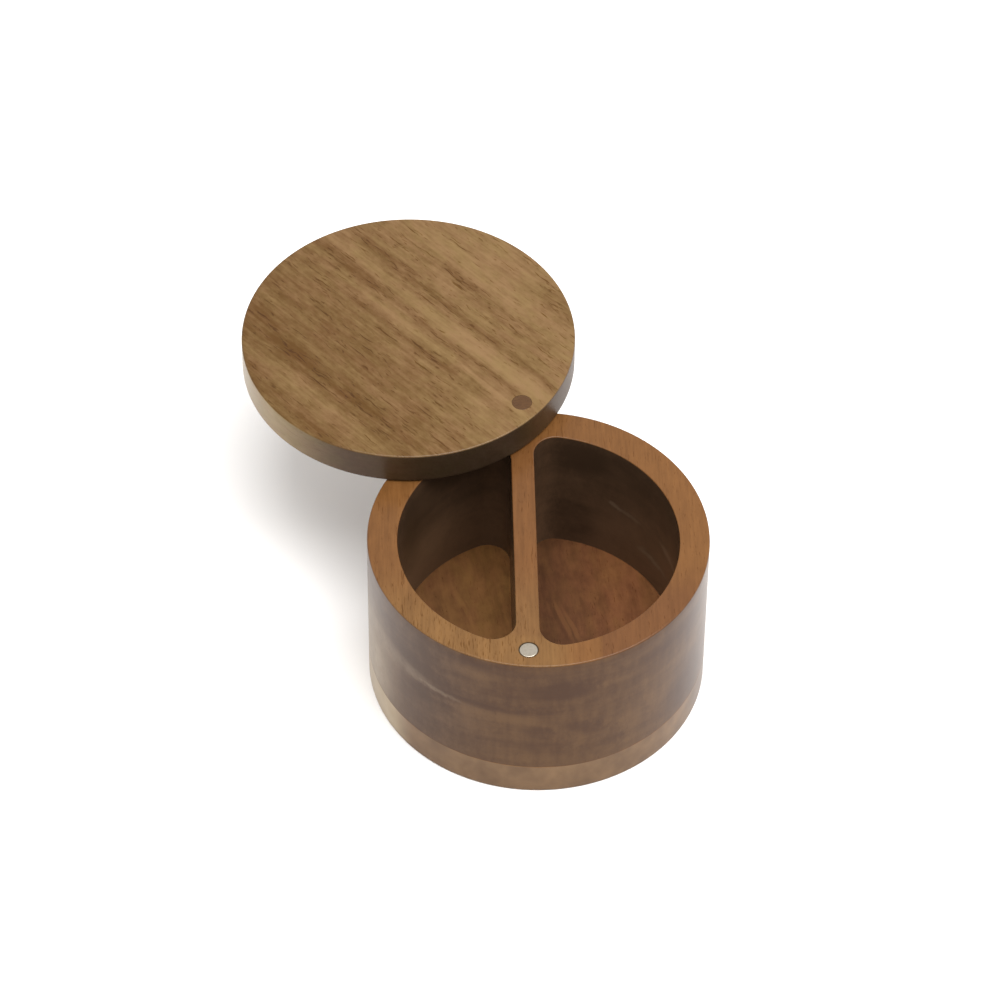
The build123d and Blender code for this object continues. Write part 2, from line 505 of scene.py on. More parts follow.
class Graph:
    """A material's nodes."""

    def __init__(self, name):
        self.material = bpy.data.materials.new(name)
        self.material.use_nodes = True
        self.tree = self.material.node_tree
        self.tree.nodes.clear()

    def node(self, kind, settings=None, inputs=None, output=0):
        """Adds a node: its settings, then its sockets' values or links. Gives the output asked for."""
        node = self.tree.nodes.new(kind)
        for name, value in (settings or {}).items():
            setattr(node, name, value)
        for name, value in (inputs or {}).items():
            if isinstance(value, Value):
                self.tree.links.new(value.socket, node.inputs[name])
            else:
                node.inputs[name].default_value = value
        return Value(self, node.outputs[output]) if node.outputs else None

    def mix(self, share, first, second, blend="MIX"):
        """The colour first where share is 0 and second where it is 1."""
        first, second = [value if isinstance(value, Value) else (*value, 1) for value in (first, second)]
        settings = {"data_type": "RGBA", "blend_type": blend}
        return self.node("ShaderNodeMix", settings, {0: share, 6: first, 7: second}, 2)

    def tint(self, share, colour, factors):
        """The colour as it is where share is 0, and multiplied by factors where it is 1."""
        return self.mix(share, colour, factors, "MULTIPLY")

    def shift(self, place, by, operation="ADD"):
        """The place moved by a vector."""
        return self.node("ShaderNodeVectorMath", {"operation": operation}, {0: place, 1: by})

    def stretch(self, place, sizes):
        """The place in units of its own along each axis."""
        return self.shift(place, sizes, "DIVIDE")

    def noise(self, place, sizes, detail=2.0, roughness=0.5):
        """Smooth noise from -0.5 to 0.5, whose features have these sizes along the axes."""
        inputs = {"Vector": self.stretch(place, sizes), "Scale": 1, "Detail": detail, "Roughness": roughness}
        return self.node("ShaderNodeTexNoise", {}, inputs, "Fac") - 0.5

    def parts(self, place):
        """The three numbers of a place."""
        split = self.node("ShaderNodeSeparateXYZ", {}, {"Vector": place})
        return [Value(self, socket) for socket in split.socket.node.outputs]

    def join(self, x, y, z):
        """A place from three numbers."""
        return self.node("ShaderNodeCombineXYZ", {}, {"X": x, "Y": y, "Z": z})

    def on_piece(self, centre, turn=0):
        """Millimetres on the piece, from centre, with x along a grain turned from the frame's X by turn, in
        degrees."""
        place = self.node("ShaderNodeTexCoord", output="Object")
        turned_by = (0, 0, math.radians(turn))
        inputs = {"Vector": place, "Location": centre, "Rotation": turned_by, "Scale": (MM,) * 3}
        return self.node("ShaderNodeMapping", {"vector_type": "TEXTURE"}, inputs)

    def surface(self, colour, roughness, height=None, relief=WOOD_RELIEF, **constants):
        """The finished surface. Height, from 0 to 1, raises it by up to relief."""
        inputs = {"Base Color": colour, "Roughness": roughness, "IOR": LACQUER_IOR, **constants}
        if height is not None:
            bump = {"Height": height, "Strength": 1.0, "Distance": relief}
            inputs["Normal"] = self.node("ShaderNodeBump", {}, bump)
        shader = self.node("ShaderNodeBsdfPrincipled", {}, inputs)
        self.node("ShaderNodeOutputMaterial", {}, {"Surface": shader})
        return self.material


# == Materials ==

# How much the mottle changes the gloss
GLOSS_DRIFT = 0.05

# The direction of each piece's grain, in degrees from the frame's X
LID_GRAIN = -47
BLOCK_GRAIN = 90
BASE_GRAIN = 97

# Flat faces begin this far below a piece's top, and are reached at the second depth
FACE_DEPTHS = (0.5, 0.2)
FLOOR_DEPTHS = (0.3, 0.1)

# The two faint tints that all the wood drifts between, the shade within the painted glare on the left ends,
# and the shade in end grain
DRIFT_TINTS = ((1.02, 0.985, 1.03), (0.98, 1.01, 0.94))
GLARE_SHADE = (0.75, 0.7, 0.62)
END_GRAIN_SHADE = (0.62,) * 3


def wavering(graph, place, amount, length):
    """The place, pushed across the grain by slow noise, so that the grain runs in long waves."""
    slow = graph.noise(place, (length, 100 / 3, 100 / 3), 1.0)
    quick = graph.noise(place, (length / 3.5, 25 / 3, 25 / 3), 1.0)
    return graph.shift(place, graph.join(0.0, slow * (2 * amount) + quick * (0.5 * amount), quick * amount))


def fibres(graph, place, along, across, detail=2.0, roughness=0.6, shift=0):
    """Noise drawn out along the grain. The shift picks another stretch of it."""
    return graph.noise(graph.shift(place, (shift,) * 3), (along, across, across), detail, roughness)


def grain(graph, place, fine, ribbon, mottle):
    """Fine fibres, broad ribbons and short mottle, each of a length and width."""
    return (
        fibres(graph, place, *fine, 2.0, 0.65),
        fibres(graph, place, *ribbon, shift=23),
        fibres(graph, place, *mottle, 3.0, 0.65, shift=47),
    )


def patches(first, second, figure):
    """The sum of soft-edged patches. Each is strength * exp(-d^2), where d = ((first - middle) / half)^2 +
    ((second - place - slope * (first - middle)) / width)^2."""
    total = 0
    for middle, half, place, width, slope, strength in figure:
        run = first - middle
        away = (run / half) ** 2 + ((second - place - run * slope) / width) ** 2
        total = (away * away * -1).math("EXPONENT") * strength + total
    return total


def open_pores(graph, place, crowding):
    """Open pores, from 0 to 1: rippled lines where drawn-out noise runs high, some long and some short. High
    crowding brings more of them."""
    ripple = fibres(graph, place, 5, 3, 1.0, shift=5) * 1.6
    rippled = graph.shift(place, graph.join(0.0, ripple, 0.0))
    long = (fibres(graph, rippled, 14, 0.9, 2.0, 0.7, shift=31) + crowding).step(0.13, 0.2)
    short = (fibres(graph, rippled, 4.5, 0.75, 1.0, shift=67) + crowding).step(0.16, 0.23)
    return long.math("MAXIMUM", short * 0.8)


def tinted(graph, colour, place):
    """The colour, drifting between two faint tints."""
    drift = fibres(graph, place, 13, 5, shift=11).step(-0.16, 0.16)
    return graph.tint(1.0, colour, graph.mix(drift, *DRIFT_TINTS))


def painted_glare(graph, finish, tone):
    """Painted glare on the left ends, coloured like pale sapwood, darker where the tone is low."""
    return graph.tint(tone.step(1, 0), finish.painted_glare, GLARE_SHADE)


# The lid's figure. Of each patch: its middle along the grain, half length, place across it, half width, slope
# and strength
LID_FIGURE = (
    (36, 62, 13.4, 3.2, -0.005, 0.3),
    (-50, 26, 14.4, 2, 0, 0.14),
    (-40, 26, 9, 2.2, 0, -0.34),
    (18, 30, 7.9, 1.2, 0.01, -0.24),
    (12, 46, 2.6, 1.2, 0, 0.26),
    (-2, 34, -1.6, 1.2, 0.01, -0.24),
    (30, 22, -2.6, 1.6, 0, -0.12),
    (50, 14, -6, 5, 0, 0.14),
    (50, 10, 1.8, 2, 0, 0.12),
    (-30, 28, 22, 2.8, -0.03, -0.28),
    (24, 38, 19.8, 1.6, -0.02, -0.26),
    (6, 24, 32, 3, -0.06, -0.24),
    (-8, 30, 41, 5, -0.04, 0.14),
    (28, 18, 50, 5, -0.3, -0.22),
    (-20, 16, -35.5, 3.4, 0, -0.34),
    (10, 10, -36, 2.2, 0.05, -0.2),
    (-46, 12, -33, 4, 0, -0.16),
    (-2, 36, -46, 5, 0.02, 0.26),
    (-14, 40, -16, 5, 0, -0.1),
    (34, 12, 35, 6, 0, -0.12),
    (14, 26, -36, 7, 0, -0.12),
)

# Tints of the lid's turned side: a little lighter at its back; painted glare on its left; darker where the
# grain ends, as end grain and painted shade over the box; painted shade at its front
LID_SIDE_PAINTED_LIGHT = ((1.15, 1.15, 1.15), (2.0, 2.5, 3.3), (0.44, 0.4, 0.43), (0.27, 0.29, 0.42))
END_GRAIN_DULLNESS = 0.14


def lid_wood(finish):
    """The lid's heartwood: streaks along the grain, mottled, with open pores. Its turned side has painted
    glare on its left and painted shade at its front, and is darker and less glossy where the grain ends, as
    end grain and painted shade over the box."""
    graph = Graph("lid_acacia")
    flat = graph.on_piece(LID_CENTRE, LID_GRAIN)
    place = wavering(graph, flat, 1.1, 60)
    along, across, _ = graph.parts(place)
    top = (lid_high.z - LID_CENTRE.z) / MM
    on_face = graph.parts(flat)[2].step(*[top - depth for depth in FACE_DEPTHS])
    softened = on_face * 0.6 + 0.4
    fine, ribbon, mottle = grain(graph, place, (20, 1.1), (36, 4), (5, 2.6))
    figure = patches(along, across, LID_FIGURE)
    slant = across * 0.004 + along * 0.0012
    tone = (figure + slant + ribbon * 0.42 + fine * 0.65 + mottle * 0.85) * softened + 0.5
    colour = tinted(graph, graph.mix(tone.step(-0.1, 1.1), finish.lid_dark, finish.lid_light), place)
    pores = open_pores(graph, place, ribbon * -0.15 - figure * 0.16)
    colour = graph.tint(pores * softened * 0.9, colour, finish.pore)
    # The turned side's painted light: painted glare on the left, painted shade at the front and over the box
    # where the grain ends
    back_tint, left_tint, end_grain_and_shade, front_shade = LID_SIDE_PAINTED_LIGHT
    end_grain = along.step(-12, 30)
    side_tint = graph.mix(across.step(20, -40), back_tint, left_tint)
    side_tint = graph.mix(end_grain, side_tint, end_grain_and_shade)
    side_tint = graph.mix(along.step(30, 52) * across.step(8, -8), side_tint, front_shade)
    colour = graph.tint(1 - on_face, colour, side_tint)
    roughness = mottle * GLOSS_DRIFT + end_grain * (1 - on_face) * END_GRAIN_DULLNESS + finish.wood_roughness
    return graph.surface(colour, roughness, fine * 0.3 + 0.5 - pores * 0.5)


# The figure on the block's side. Of each patch: its middle and half length in degrees right of the front, its
# height and half height in millimetres, its slope and its strength
SIDE_FIGURE = (
    (-16, 15, 37.4, 3.3, 0.01, 0.3),
    (-25, 6, 33, 2.6, 0, 0.14),
    (-21, 20, 44.2, 2.8, -0.02, -0.2),
    (-18, 28, 42.2, 1.3, -0.01, -0.16),
    (-46, 16, 48.5, 3.4, -0.1, -0.26),
    (-42, 10, 35.5, 2.6, 0, -0.24),
    (-38, 9, 38.7, 1, 0.03, -0.18),
    (-24, 10, 58, 2.4, 0.02, 0.2),
    (-30, 22, 64, 2.2, 0, -0.2),
    (8, 12, 53, 4.4, 0.02, -0.44),
    (2, 8, 24, 5, 0, -0.18),
    (-43, 9, 36, 30, 0, -0.16),
    (15, 9, 32.5, 3.4, -0.35, -0.3),
    (-1, 5, 31.5, 3.6, 0, -0.18),
    (31, 4, 24, 10, 0, 0.2),
    (42, 7, 33, 7, 0.1, 0.2),
    (62, 14, 26, 11, 0, -0.4),
    (54, 18, 56, 8, 0, -0.22),
    (20, 16, 22, 6, 0, -0.12),
    (-10, 16, 18, 5, 0, 0.1),
)

# The pale wedge in it, as a figure too
WEDGE_FIGURE = (
    (-66, 18, 42.4, 4.2, -0.02, 0.5),
    (-46, 8, 41.9, 2.5, -0.06, 0.36),
    (-36, 8, 41, 1, -0.06, 0.45),
    (-74, 13, 22, 11, 0, 0.85),
)

# The figure on the pockets' walls, likewise, and the pale marks in it
WALL_FIGURE = (
    (-130, 10, 31, 8, 0, 0.16),
    (-118, 17, 38, 13, 0, -0.18),
    (137, 9, 30, 5, 0, 0.14),
    (164, 12, 23, 13, 0, -0.4),
    (160, 12, 58, 7, 0, -0.28),
    (-113, 10, 52, 14, 0, -0.16),
    (128, 12, 42, 9, 0, 0.1),
)
MARK_FIGURE = (
    (107, 7, 39.3, 1.7, 0, 0.9),
    (136, 7, 38.9, 0.9, 0, 0.5),
    (144, 3.5, 40, 1.1, 0.2, 0.7),
    (117, 10, 26.2, 1.2, -0.02, 1),
    (128, 3, 26.6, 1.6, -0.3, 0.5),
)

# What tints the rim at its front right and left, on the divider, and in the glue round the magnet
RED_CORNER_TINT = (0.75, 0.7, 0.82)
PALE_CORNER_TINT = (1.12, 1.3, 1.45)
DIVIDER_TINT = (0.915, 0.885, 0.905)
GLUE_TINT = (0.4, 0.42, 0.42)
GLUE_LINE = (3.8, 3.4)

# What tints the block's side, on the left and on the right
SIDE_TINTS = ((0.95, 1.0, 1.4), (1.0, 0.97, 0.9))


def block_wood(finish):
    """The block's wood: orange-brown long grain on the rim, soft level bands where its side was turned, and
    dark walls in its pockets."""
    graph = Graph("block_acacia")
    flat = graph.on_piece((0, 0, 0), BLOCK_GRAIN)
    place = wavering(graph, flat, 0.8, 70)
    far, left, up = graph.parts(flat)
    reach = (far * far + left * left) ** 0.5
    turn = (left * -1).math("ARCTAN2", far * -1) * math.degrees(1)
    fine, ribbon, mottle = grain(graph, place, (18, 1.0), (40, 5), (7, 3))

    tone = ribbon * 0.6 + fine * 0.65 + mottle * 0.5 - far * 0.0002 - left * 0.001 + 0.52
    rim = graph.mix(tone.step(0, 1), finish.block_dark, finish.block_light)
    red_corner = left.step(-19.5, -21.5) * far.step(-12, -32)
    pale_corner = far.step(-8, -40) * left.step(-14, -2)
    rim = graph.tint(red_corner * 0.8, rim, RED_CORNER_TINT)
    rim = graph.tint(pale_corner, rim, PALE_CORNER_TINT)
    rim = graph.tint(reach.step(48, 45), rim, DIVIDER_TINT)
    crowding = pale_corner * left.step(0, 14) * 0.05 - 0.012
    pores = open_pores(graph, graph.stretch(place, (1 / 1.3, 1 / 1.9, 1 / 1.9)), crowding)
    rim = graph.tint(pores * 0.85, rim, finish.pore)

    level = up + graph.noise(flat, (40, 40, 30)) * 10
    bands = graph.noise(graph.join(far, left, level), (34, 34, 4.5), 3.0, 0.55)
    cloud = graph.noise(flat, (5, 5, 7), 3.0, 0.8)
    flecks = graph.noise(flat, (3.5, 3.5, 16), 2.0, 0.6)
    specks = graph.noise(flat, (1.3, 1.3, 2.2), 1.0).step(0.18, 0.28)
    ragged = up + bands * 2 + cloud * 2
    figure = patches(turn + cloud * 12, ragged, SIDE_FIGURE)
    tone = figure + bands * 0.65 + cloud * 0.65 + flecks * 0.5 + up.step(48, 34) * 0.1 + 0.42
    side = graph.mix(tone.step(0, 1), finish.side_dark, finish.side_light)
    side = graph.tint(1.0, side, graph.mix(turn.step(-50, -10), *SIDE_TINTS))
    wedge = patches(turn + cloud * 12, ragged, WEDGE_FIGURE) * (cloud * 2 + 0.9)
    side = graph.mix(wedge, side, finish.side_pale)
    side = graph.mix(specks * 0.4, side, finish.side_dark)
    # Painted glare on the side's left end, stronger lower down, coloured like pale sapwood
    glare_end = left.step(47, 60) * far.step(30, 0) * up.step(62, 30)
    side = graph.mix(glare_end * 0.42, side, painted_glare(graph, finish, cloud * 2 + 0.5))

    figure = patches(turn + cloud * 10, ragged, WALL_FIGURE)
    tone = figure + bands * 0.4 + cloud * 0.4 + fine * 0.2 + up.step(66, 12) * 0.6 + 0.22
    wall = graph.mix(tone.step(0, 1), finish.wall_dark, finish.wall_light)
    wall = graph.mix(patches(turn + cloud * 8, up + cloud * 3, MARK_FIGURE), wall, finish.side_pale)

    skin = BOX_RADIUS / MM - 2
    on_rim = up.step(*[block_high.z / MM - depth for depth in FACE_DEPTHS])
    colour = graph.mix(on_rim, graph.mix(reach.step(skin - 1, skin), wall, side), rim)
    beside, behind = left + RIM_MAGNET.x / MM, far - RIM_MAGNET.y / MM
    glue_line = ((beside * beside + behind * behind) ** 0.5).step(*GLUE_LINE) * on_rim
    colour = graph.tint(glue_line, colour, GLUE_TINT)
    height = (fine * 0.3 - pores * 0.5) * on_rim + 0.5
    return graph.surface(colour, mottle * GLOSS_DRIFT + finish.wood_roughness, height)


# The figure on the right pocket's floor, in millimetres along and across its grain
FLOOR_FIGURE = (
    (6, 10, -10.8, 0.8, 0.235, 0.65),
    (8, 12, -8.6, 0.8, 0.235, -0.2),
    (3, 8, -13.4, 0.8, 0.235, 0.55),
    (2, 10, -12, 0.7, 0.235, -0.2),
    (17, 12, 24, 1, 0.2, 0.25),
)

# What tints the right pocket's floor, left to right, and the left pocket's, right to left
RIGHT_FLOOR_TINTS = ((0.52, 0.48, 0.52), (1.02, 0.93, 1.05))
LEFT_FLOOR_TINTS = ((1.16, 1.24, 1.2), (0.76, 0.77, 0.8))
FLOOR_DULLNESS = 0.25


def base_wood(finish):
    """The base disc's wood: pale on its edge, and redder where it is the pockets' floor."""
    graph = Graph("base_acacia")
    flat = graph.on_piece((0, 0, 0), BASE_GRAIN)
    place = wavering(graph, flat, 1.8, 32)
    far, left, up = graph.parts(flat)
    along, across, _ = graph.parts(place)
    fine, ribbon, mottle = grain(graph, place, (12, 1.1), (40, 5), (6, 3))
    cloud = graph.noise(flat, (8, 8, 11), 2.0, 0.55)

    tone = cloud * 0.9 + ribbon * 0.4 - left.step(-46, -58) * 0.4 + 0.42
    edge = graph.mix(tone.step(0, 1), finish.base_dark, finish.base_light)
    # Painted glare on the edge's left end, coloured like pale sapwood
    glare_end = left.step(49, 56) * far.step(30, 0)
    edge = graph.mix(glare_end, edge, painted_glare(graph, finish, tone))

    lit_corner = left.step(-24, -42) * far.step(8, 34)
    lit_front = left.step(12, 18) * left.step(32, 27) * far.step(17, 5)
    streaks = ribbon * 0.4 + fine * 0.4 + mottle * 0.75 + cloud * 0.7
    tone = patches(along, across, FLOOR_FIGURE) + streaks + lit_corner * 0.25 + lit_front * 0.28 + 0.5
    floor = tinted(graph, graph.mix(tone.step(0, 1), finish.floor_dark, finish.floor_light), place)
    right_tint = graph.mix(left.step(-8, -38), *RIGHT_FLOOR_TINTS)
    left_tint = graph.mix(left.step(7, 33), *LEFT_FLOOR_TINTS)
    floor = graph.tint(1.0, floor, graph.mix(left.step(-4, 8), right_tint, left_tint))
    crowding = left.step(-8, -26) * 0.04 - 0.05
    pores = open_pores(graph, graph.stretch(place, (1 / 2.0, 1 / 1.4, 1 / 1.4)), crowding)
    floor = graph.tint(pores * 0.8, floor, finish.pore)

    on_top = up.step(*[base_high.z / MM - depth for depth in FLOOR_DEPTHS])
    height = (fine * 0.3 - pores * 0.5) * on_top + 0.5
    roughness = mottle * GLOSS_DRIFT + on_top * FLOOR_DULLNESS + finish.wood_roughness
    return graph.surface(graph.mix(on_top, edge, floor), roughness, height)


def plug_wood(finish):
    """The plug's end grain: fine dark pores and faint rings."""
    graph = Graph("plug_end_grain")
    place = graph.on_piece(PIVOT)
    grainy = graph.noise(place, (1 / 2.2, 1 / 2.2, 1 / 0.3), 3.0, 0.6)
    rings = graph.noise(place, (2, 1 / 1.6, 10), 1.5)
    tone = grainy * 0.8 + rings * 0.8 + 0.5
    colour = graph.tint(tone.step(1, 0), finish.plug_wood, END_GRAIN_SHADE)
    return graph.surface(colour, grainy * 0.1 + finish.wood_roughness, tone)


def nickel_plate(finish):
    """Bright nickel with faint wear and dulled patches."""
    graph = Graph("nickel_plate")
    place = graph.on_piece(RIM_MAGNET)
    cloud = graph.noise(place, (1.25,) * 3, 4.0, 0.6)
    scratch = graph.noise(place, (1 / 0.6, 1 / 14, 1 / 6), 2.0, 0.6)
    colour = graph.tint(cloud.step(-0.15, 0.25), finish.nickel, (0.8, 0.79, 0.77))
    return graph.surface(colour, cloud * 0.2 + 0.35, scratch, METAL_RELIEF, Metallic=1.0)


def zinc_plate(finish):
    """Zinc-plated steel, cloudy, with turning marks."""
    graph = Graph("zinc_plated_steel")
    place = graph.on_piece(PIVOT)
    cloud = graph.noise(place, (1 / 0.9,) * 3, 3.0, 0.6)
    marks = graph.noise(place, (2.5, 2.5, 1 / 9))
    colour = graph.tint(cloud.step(-0.2, 0.2), finish.steel, (0.78, 0.78, 0.74))
    return graph.surface(colour, cloud * 0.2 + 0.32, marks, METAL_RELIEF, Metallic=1.0)


def moulded_nylon(finish):
    """Off-white nylon with a fine moulded grain."""
    graph = Graph("moulded_nylon")
    fine = graph.noise(graph.on_piece(PIVOT), (0.2,) * 3)
    colour = graph.tint(fine.step(0.2, -0.2), finish.nylon, (0.9, 0.9, 0.88))
    return graph.surface(colour, fine * 0.1 + 0.45, fine, NYLON_RELIEF)


def matt_floor(stage):
    """The floor's matt white, with the faintest clouds."""
    graph = Graph("matt_floor")
    cloud = graph.noise(graph.on_piece((0, 0, 0)), (100,) * 3)
    return graph.surface(graph.tint(0.5 - cloud, stage.floor, (0.99,) * 3), cloud * 0.1 + 0.85)


# == Operators ==

PLUG_ROUND = 0.15 * MM
PLUG_CHAMFER = 0.3 * MM
WASHER_ROUND = 0.1 * MM


def chosen(context):
    """The sizes and the finish that the panel shows."""
    return context.scene.spice_box_sizes, context.scene.spice_box_finish


class SPICEBOX_OT_base(Operator):
    """Make the base disc, whose top is the pockets' floor"""

    bl_idname = "spicebox.base"
    bl_label = "Base Disc"

    def execute(self, context):
        sizes, finish = chosen(context)
        face_steps, side_steps, top = 12, 6, base_high.z
        corners = [(0, top), (BOX_RADIUS, top), (BOX_RADIUS, 0), (0, 0)]
        outline = rounded(corners, (face_steps, side_steps, face_steps), (0, sizes.rim_round))
        grids = [turned(outline, (0, 0), circle_angles())]
        piece_from("turned_base", "base_disc", grids, base_wood(finish))
        return {"FINISHED"}


class SPICEBOX_OT_block(Operator):
    """Make the body block, with its pockets, the magnet's seat and the screw's hole"""

    bl_idname = "spicebox.block"
    bl_label = "Body Block"

    def execute(self, context):
        sizes, finish = chosen(context)
        top, bottom = block_high.z, block_low.z
        side_steps, seat_steps, hole_steps = 16, 4, 8
        seat_radius = (rim_magnet_high.x - rim_magnet_low.x) / 2 + sizes.seat_gap
        inset = BOX_RADIUS - sizes.rim_round
        grids = block_face(sizes, inset, sizes.mouth_round, top, seat_radius, sizes.shank_radius)
        grids += block_face(sizes, BOX_RADIUS, 0, bottom, 0, 0)
        corners = [(inset, top), (BOX_RADIUS, top), (BOX_RADIUS, bottom)]
        outline = rounded(corners, (0, side_steps), (sizes.rim_round,))
        grids.append(turned(outline, (0, 0), rim_angles()))
        corners = [(sizes.mouth_round, top), (0, top), (0, bottom)]
        wall = rounded(corners, (0, side_steps), (sizes.mouth_round,))
        for side in (1, -1):
            grids.append(np.stack([pocket_loop(sizes, side, spread, height) for spread, height in wall]))
        seat = blind_hole(seat_radius, top, rim_magnet_low.z, seat_steps)
        grids.append(turned(seat, RIM_MAGNET, directions(field_loop(-1, inset, 0), RIM_MAGNET)))
        hole = blind_hole(sizes.shank_radius, top, screw_low.z, hole_steps)
        grids.append(turned(hole, PIVOT, directions(field_loop(1, inset, 0), PIVOT)))
        piece_from("turned_block", "body_block", grids, block_wood(finish))
        return {"FINISHED"}


class SPICEBOX_OT_lid(Operator):
    """Make the lid, with its counterbored pivot hole and the magnet's recess"""

    bl_idname = "spicebox.lid"
    bl_label = "Lid"

    def execute(self, context):
        sizes, finish = chosen(context)
        top, bottom, inset = lid_high.z, lid_low.z, LID_RADIUS - sizes.lid_round
        toward_pivot = math.atan2(PIVOT.y - LID_CENTRE.y, PIVOT.x - LID_CENTRE.x)
        angles = circle_angles() + toward_pivot - math.pi / 2
        half, side_steps, bore_steps, counterbore_steps = CIRCLE_STEPS // 2, 8, 4, 6
        corners = [(inset, top), (LID_RADIUS, top), (LID_RADIUS, bottom), (inset, bottom)]
        edge = turned(rounded(corners, (0, side_steps, 0), (sizes.lid_round,) * 2), LID_CENTRE, angles)
        plug_radius = (plug_high.x - plug_low.x) / 2
        seat_radius = (lid_magnet_high.x - lid_magnet_low.x) / 2 + sizes.seat_gap
        shoulder = top - sizes.plug_depth
        bore = line((sizes.bore_radius, bottom), (sizes.bore_radius, shoulder), bore_steps)
        recess = blind_hole(seat_radius, bottom, lid_magnet_high.z, bore_steps)
        grids = [edge, ruled(edge[0], facing(edge[0], PIVOT, plug_radius))]
        back, front = edge[-1][: half + 1], edge[-1][half:]
        # The underside's two halves, each ruled from its outer line to the hole within
        for centre, hole, outer in ((PIVOT, bore, back), (LID_MAGNET, recess, front)):
            loop = chain(outer, line(outer[-1], outer[0], half))
            grids.append(ruled(loop, facing(loop, centre, hole[0, 0])))
            grids.append(turned(hole, centre, directions(loop, centre)))
            if hole is bore:
                bore_top = grids[-1][-1]
        wall = line((plug_radius, top), (plug_radius, shoulder), counterbore_steps)
        counterbore = turned(wall, PIVOT, directions(edge[0], PIVOT))
        grids += [counterbore, ruled(counterbore[-1], bore_top)]
        piece_from("turned_lid", "lid", grids, lid_wood(finish))
        return {"FINISHED"}


class SPICEBOX_OT_plug(Operator):
    """Make the end-grain plug over the screw's head"""

    bl_idname = "spicebox.plug"
    bl_label = "Pivot Plug"

    def execute(self, context):
        sizes, finish = chosen(context)
        radius = (plug_high.x - plug_low.x) / 2 - sizes.plug_gap
        top, bottom = plug_high.z, plug_low.z
        chamfer = [(radius, bottom + PLUG_CHAMFER), (radius - PLUG_CHAMFER, bottom)]
        top_steps, round_steps, side_steps, bottom_steps = 6, 5, 4, 3
        steps = (top_steps, side_steps, 1, bottom_steps)
        outline = rounded([(0, top), (radius, top), *chamfer, (0, bottom)], steps, (PLUG_ROUND,), round_steps)
        grids = [turned(outline, PIVOT, circle_angles(RING_STEPS))]
        piece_from("end_grain_plug", "pivot_plug", grids, plug_wood(finish))
        return {"FINISHED"}


class SPICEBOX_OT_screw(Operator):
    """Make the pan head screw that the lid turns on"""

    bl_idname = "spicebox.screw"
    bl_label = "Pivot Screw"

    def execute(self, context):
        sizes, finish = chosen(context)
        radius = (screw_high.x - screw_low.x) / 2
        seat = screw_high.z - sizes.head_height
        rim_top = seat + sizes.head_rim
        head = domed_head(radius, rim_top)
        rim = chain(head[0], head[:, -1], head[-1, ::-1], head[::-1, 0])
        turns = directions(rim, PIVOT)
        rim_steps, seat_steps = 3, 3
        corners = [(radius, rim_top), (radius, seat), (sizes.shank_radius, seat)]
        under = rounded(corners, (rim_steps, seat_steps))
        grids = [head, turned(under, PIVOT, turns), threaded_shank(sizes, seat, turns)]
        piece_from("threaded_screw", "pivot_screw", grids, zinc_plate(finish))
        return {"FINISHED"}


class SPICEBOX_OT_washer(Operator):
    """Make the thin washer that keeps the lid off the rim"""

    bl_idname = "spicebox.washer"
    bl_label = "Spacer Washer"

    def execute(self, context):
        sizes, finish = chosen(context)
        top, bottom = washer_high.z, washer_low.z
        outer, inner = (washer_high.x - washer_low.x) / 2, sizes.washer_bore
        face_steps, side_steps, round_steps = 4, 1, 4
        start = (inner + WASHER_ROUND, top)
        corners = [start, (outer, top), (outer, bottom), (inner, bottom), (inner, top), start]
        steps = (face_steps, side_steps, face_steps, side_steps, 0)
        outline = rounded(corners, steps, (WASHER_ROUND,) * 4, round_steps)
        grids = [turned(outline, PIVOT, circle_angles(RING_STEPS))]
        piece_from("nylon_washer", "spacer_washer", grids, moulded_nylon(finish))
        return {"FINISHED"}


class SPICEBOX_OT_magnets(Operator):
    """Make the two catch magnets, one in the rim and one in the lid"""

    bl_idname = "spicebox.magnets"
    bl_label = "Catch Magnets"

    def execute(self, context):
        sizes, finish = chosen(context)
        plate, face_steps, side_steps = nickel_plate(finish), 5, 3
        for node, low, high in (
            ("rim_magnet", rim_magnet_low, rim_magnet_high),
            ("lid_magnet", lid_magnet_low, lid_magnet_high),
        ):
            radius = (high.x - low.x) / 2
            corners = [(0, high.z), (radius, high.z), (radius, low.z), (0, low.z)]
            outline = rounded(corners, (face_steps, side_steps, face_steps), (sizes.magnet_round,) * 2)
            grids = [turned(outline, (low + high) / 2, circle_angles(RING_STEPS))]
            piece_from(f"{node}_disc", node, grids, plate)
        return {"FINISHED"}


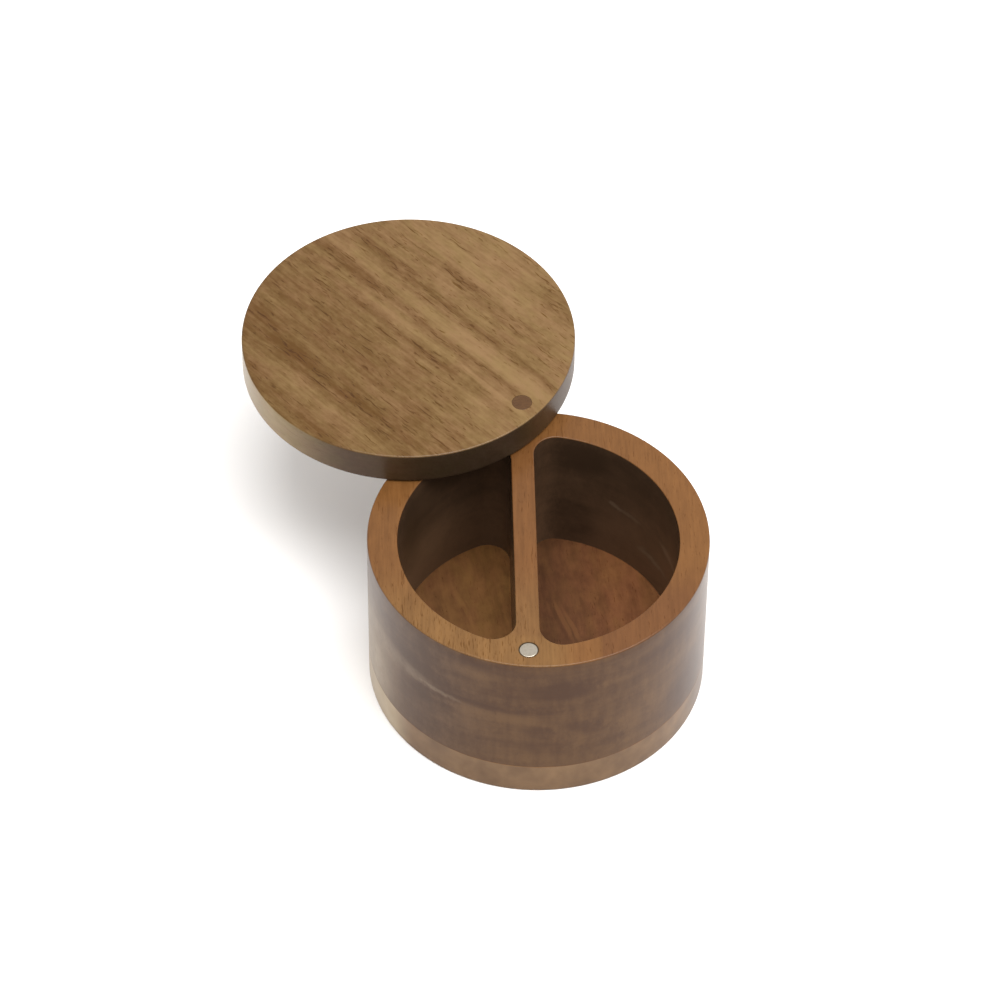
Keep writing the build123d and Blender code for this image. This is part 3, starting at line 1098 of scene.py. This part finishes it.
class SPICEBOX_OT_stage(Operator):
    """Set the floor, the light and the camera"""

    bl_idname = "spicebox.stage"
    bl_label = "Stage"

    def execute(self, context):
        stage = context.scene.spice_box_stage
        self.lay_floor(context, stage)
        self.hang_softbox(context, stage)
        self.stand_camera(context, stage)
        return {"FINISHED"}

    def lay_floor(self, context, stage):
        """A flat square of faces, and the white surround above it."""
        half = stage.floor_side / 2
        left, right = [at_height(line((x, -half), (x, half), STUDIO_FLOOR_STEPS), 0) for x in (-half, half)]
        grid = ruled(right, left, np.linspace(0, 1, STUDIO_FLOOR_STEPS + 1))
        mesh = bpy.data.meshes.new("studio_floor")
        mesh.from_pydata(grid.reshape(-1, 3).tolist(), [], quads(*grid.shape[:2]).tolist())
        mesh.materials.append(matt_floor(stage))
        floor = bpy.data.objects.new("studio_floor", mesh)
        context.scene.collection.objects.link(floor)
        world = bpy.data.worlds.new("white_surround")
        world.use_nodes = True
        background = world.node_tree.nodes["Background"]
        background.inputs["Color"].default_value = (1, 1, 1, 1)
        background.inputs["Strength"].default_value = stage.surround
        context.scene.world = world

    def hang_softbox(self, context, stage):
        """A wide rectangle of light over the box, to the front and the right."""
        light = bpy.data.lights.new("overhead_softbox", "AREA")
        light.shape = "RECTANGLE"
        light.size, light.size_y = stage.softbox_width, stage.softbox_depth
        light.energy = stage.softbox_power
        lamp = bpy.data.objects.new("overhead_softbox", light)
        back = (stage.softbox_place - stage.softbox_aim).normalized()
        right = Vector((0, 1, 0)).cross(back).normalized()
        lamp.location = stage.softbox_place
        lamp.rotation_euler = Matrix((right, back.cross(right), back)).transposed().to_euler()
        context.scene.collection.objects.link(lamp)

    def stand_camera(self, context, stage):
        """A long lens, high in front."""
        lens = bpy.data.cameras.new("front_camera")
        lens.lens = stage.camera_lens
        camera = bpy.data.objects.new("front_camera", lens)
        level = math.cos(stage.camera_elevation)
        side, front = math.sin(stage.camera_azimuth) * level, -math.cos(stage.camera_azimuth) * level
        back = Vector((side, front, math.sin(stage.camera_elevation)))
        camera.location = Vector(stage.camera_aim) + stage.camera_distance * back
        upright = (-back).to_track_quat("-Z", "Y").to_matrix()
        camera.rotation_euler = (upright @ Matrix.Rotation(stage.camera_roll, 3, "Z")).to_euler()
        context.scene.collection.objects.link(camera)
        context.scene.camera = camera
        context.scene.view_settings.view_transform = "Standard"


class SPICEBOX_PT_panel(Panel):
    """Lists the operators and the properties"""

    bl_idname = "SPICEBOX_PT_panel"
    bl_label = "Spice Box"
    bl_space_type = "VIEW_3D"
    bl_region_type = "UI"
    bl_category = "Spice Box"

    def draw(self, context):
        for operator in OPERATORS:
            self.layout.operator(operator.bl_idname)
        for place, group in GROUPS.items():
            box = self.layout.box()
            for name in group.__annotations__:
                box.prop(getattr(context.scene, place), name)


OPERATORS = (
    SPICEBOX_OT_base,
    SPICEBOX_OT_block,
    SPICEBOX_OT_lid,
    SPICEBOX_OT_plug,
    SPICEBOX_OT_screw,
    SPICEBOX_OT_washer,
    SPICEBOX_OT_magnets,
    SPICEBOX_OT_stage,
)
CLASSES = (*GROUPS.values(), *OPERATORS, SPICEBOX_PT_panel)


def register():
    for cls in CLASSES:
        bpy.utils.register_class(cls)
    for place, group in GROUPS.items():
        setattr(bpy.types.Scene, place, PointerProperty(type=group))


def unregister():
    for place in GROUPS:
        delattr(bpy.types.Scene, place)
    for cls in reversed(CLASSES):
        bpy.utils.unregister_class(cls)


def main():
    register()
    bpy.ops.spicebox.base()
    bpy.ops.spicebox.block()
    bpy.ops.spicebox.lid()
    bpy.ops.spicebox.plug()
    bpy.ops.spicebox.screw()
    bpy.ops.spicebox.washer()
    bpy.ops.spicebox.magnets()
    bpy.ops.spicebox.stage()


if __name__ == "__main__":
    main()
